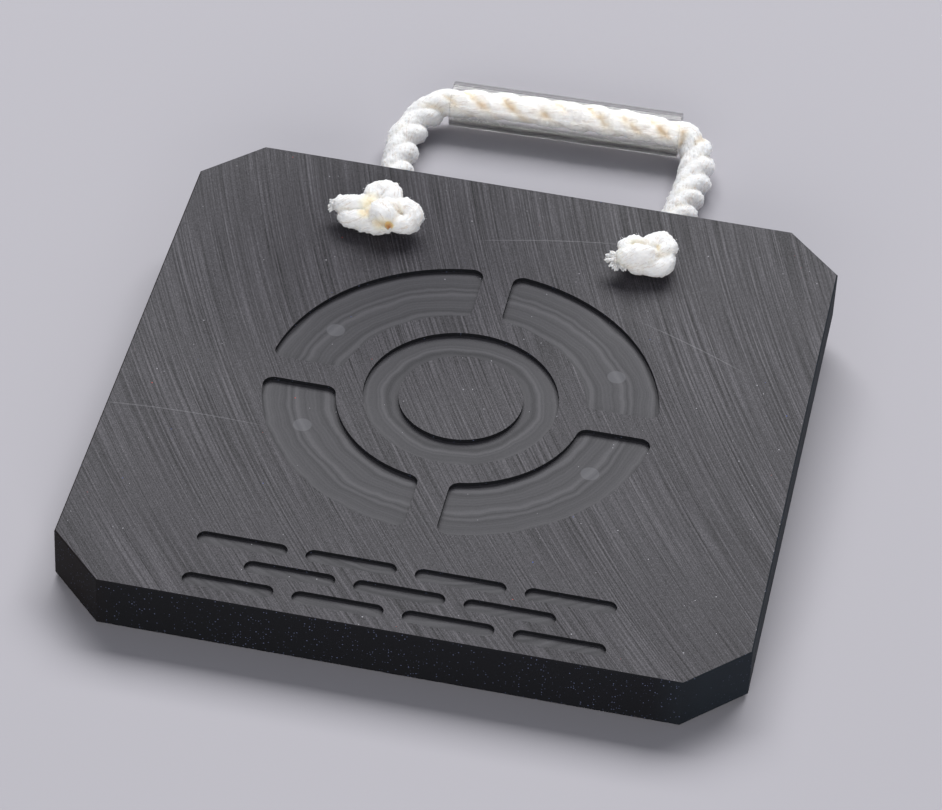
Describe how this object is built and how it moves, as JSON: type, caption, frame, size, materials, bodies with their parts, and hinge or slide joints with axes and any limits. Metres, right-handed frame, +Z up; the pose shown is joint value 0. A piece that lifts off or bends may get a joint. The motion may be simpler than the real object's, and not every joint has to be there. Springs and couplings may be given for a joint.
{
  "type": "jack base plate",
  "caption": "Square plastic pad with cut corners for the foot of a jack or outrigger, milled on top, with a rope carrying handle tied through its rear edge and a clear tube grip.",
  "frame": {"origin": "on the floor, under the middle of the plate's bounding box", "axes": "+Z up from the floor, +Y from the plate's front edge to the edge with the rope handle, +X to the right; the plate leans 2.9 degrees about X because its rear lies on the rope"},
  "size_m": [0.3048, 0.4199, 0.0596],
  "materials": {
    "black_polyethylene": "satin",
    "white_rope": "matte",
    "clear_vinyl": "gloss"
  },
  "bodies": {
    "root": {"base_plate": "black_polyethylene", "rope_handle": "white_rope", "handle_sleeve": "clear_vinyl"}
  },
  "joints": []
}
